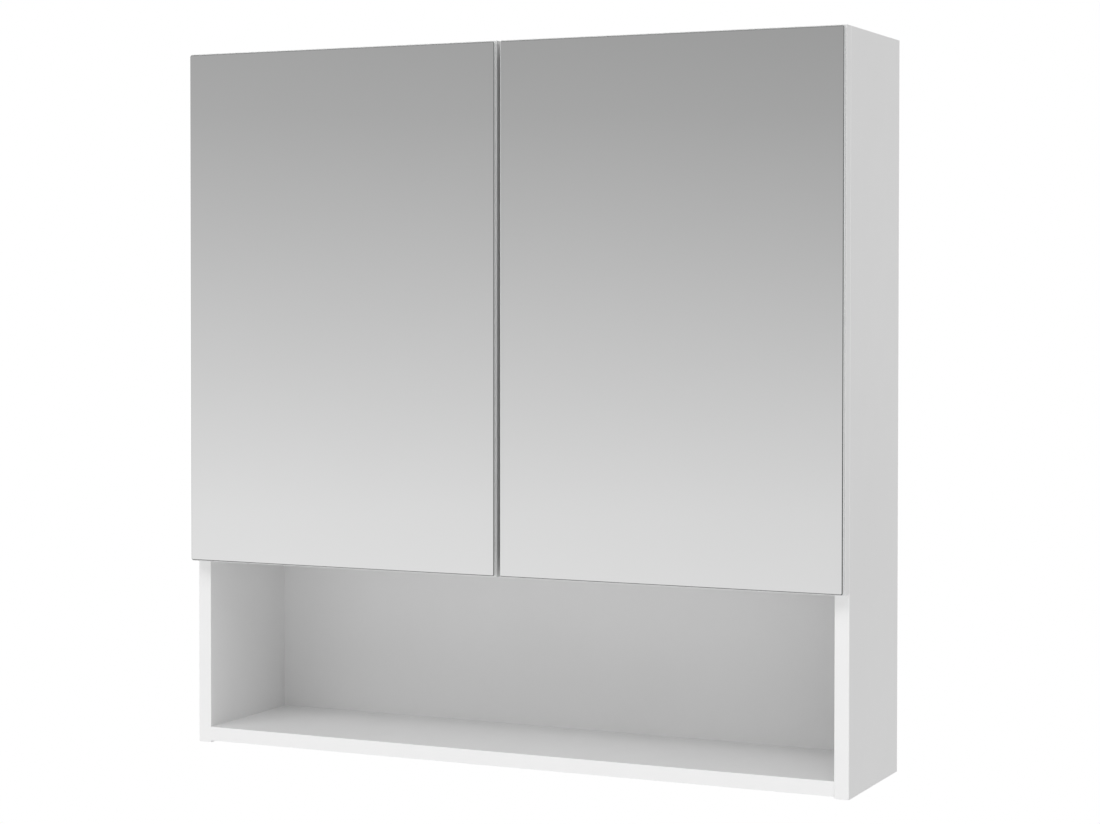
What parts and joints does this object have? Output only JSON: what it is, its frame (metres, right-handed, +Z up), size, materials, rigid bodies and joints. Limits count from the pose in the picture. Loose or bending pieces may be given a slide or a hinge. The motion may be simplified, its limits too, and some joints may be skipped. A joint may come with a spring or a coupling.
{
  "type": "mirror cabinet",
  "caption": "Wall-hung mirror cabinet: mirror doors on concealed hinges over glass shelves, with an open niche below.",
  "frame": {"origin": "on the wall plane, midway between the wall-screw holes", "axes": "+Z up, +Y into the wall, -Y out of the mirrors, +X to the right as seen from the front"},
  "size_m": [0.594, 0.142, 0.6],
  "materials": {
    "white_board": "white melamine-faced board, satin, with matching edge band",
    "white_door": "white melamine-faced board, satin, with matching edge band",
    "white_hardboard": "thin hardboard, white lacquered face",
    "mirror_glass": "silvered glass with a ground arris",
    "foam_tape": "double-sided foam mounting tape",
    "felt": "thin felt dot",
    "clear_glass": "clear float glass with polished edges",
    "beech": "plain beech",
    "zinc": "die-cast zinc",
    "pin_metal": "nickel-plated steel",
    "screw_steel": "zinc-plated steel",
    "rivet_steel": "bright steel",
    "nickel_steel": "pressed steel, nickel-plated"
  },
  "bodies": {
    "carcass": {"back_panel": "white_hardboard", "back_panel_screws": "screw_steel", "bottom_panel": "white_board", "cam_bolts": "screw_steel", "cam_locks": "zinc", "dowels": "beech", "fixed_shelf": "white_board", "hanging_rail": "white_board", "hinge_arm_screws": "screw_steel", "hinge_plate_screws": "screw_steel", "left_arm_pins": "rivet_steel", "left_lower_hinge_arm": "nickel_steel", "left_lower_hinge_plate": "nickel_steel", "left_side_panel": "white_board", "left_upper_hinge_arm": "nickel_steel", "left_upper_hinge_plate": "nickel_steel", "lower_glass_shelf": "clear_glass", "right_arm_pins": "rivet_steel", "right_lower_hinge_arm": "nickel_steel", "right_lower_hinge_plate": "nickel_steel", "right_side_panel": "white_board", "right_upper_hinge_arm": "nickel_steel", "right_upper_hinge_plate": "nickel_steel", "shelf_pins": "pin_metal", "top_panel": "white_board", "upper_glass_shelf": "clear_glass"},
    "left_outer_links": {"left_lower_outer_links": "nickel_steel", "left_upper_outer_links": "nickel_steel"},
    "left_inner_links": {"left_lower_inner_link": "nickel_steel", "left_upper_inner_link": "nickel_steel"},
    "left_door": {"left_cup_pins": "rivet_steel", "left_cup_screws": "screw_steel", "left_door_board": "white_door", "left_felt_dots": "felt", "left_lower_hinge_cup": "nickel_steel", "left_mirror": "mirror_glass", "left_mirror_adhesive": "foam_tape", "left_upper_hinge_cup": "nickel_steel"},
    "right_outer_links": {"right_lower_outer_links": "nickel_steel", "right_upper_outer_links": "nickel_steel"},
    "right_inner_links": {"right_lower_inner_link": "nickel_steel", "right_upper_inner_link": "nickel_steel"},
    "right_door": {"right_cup_pins": "rivet_steel", "right_cup_screws": "screw_steel", "right_door_board": "white_door", "right_felt_dots": "felt", "right_lower_hinge_cup": "nickel_steel", "right_mirror": "mirror_glass", "right_mirror_adhesive": "foam_tape", "right_upper_hinge_cup": "nickel_steel"}
  },
  "joints": [
    {"name": "left_outer_link_pivot", "type": "hinge", "parent": "carcass", "child": "left_outer_links", "pos_m": [-0.2705, -0.115, -0.178], "axis": [0, 0, 1], "range_deg": [0, 37.1]},
    {"name": "left_door_swing", "type": "hinge", "parent": "left_outer_links", "child": "left_door", "pos_m": [-0.2894, -0.1302, -0.178], "axis": [0, 0, -1], "range_deg": [0, 132.05], "stiffness_Nm_per_rad": 0.06, "springref_deg": -45.84},
    {"name": "left_inner_link_pivot", "type": "hinge", "parent": "carcass", "child": "left_inner_links", "pos_m": [-0.261, -0.1241, -0.178], "axis": [0, 0, 1], "range_deg": [0, 32.8]},
    {"name": "right_outer_link_pivot", "type": "hinge", "parent": "carcass", "child": "right_outer_links", "pos_m": [0.2705, -0.115, -0.178], "axis": [0, 0, -1], "range_deg": [0, 37.1]},
    {"name": "right_door_swing", "type": "hinge", "parent": "right_outer_links", "child": "right_door", "pos_m": [0.2894, -0.1302, -0.178], "axis": [0, 0, 1], "range_deg": [0, 132.05], "stiffness_Nm_per_rad": 0.06, "springref_deg": -45.84},
    {"name": "right_inner_link_pivot", "type": "hinge", "parent": "carcass", "child": "right_inner_links", "pos_m": [0.261, -0.1241, -0.178], "axis": [0, 0, -1], "range_deg": [0, 32.8]}
  ],
  "couplings": [
    {"joint": "left_outer_link_pivot", "follows": "left_door_swing", "ratio": 0.28058},
    {"joint": "left_inner_link_pivot", "follows": "left_door_swing", "ratio": 0.2482},
    {"joint": "right_outer_link_pivot", "follows": "right_door_swing", "ratio": 0.28058},
    {"joint": "right_inner_link_pivot", "follows": "right_door_swing", "ratio": 0.2482}
  ]
}
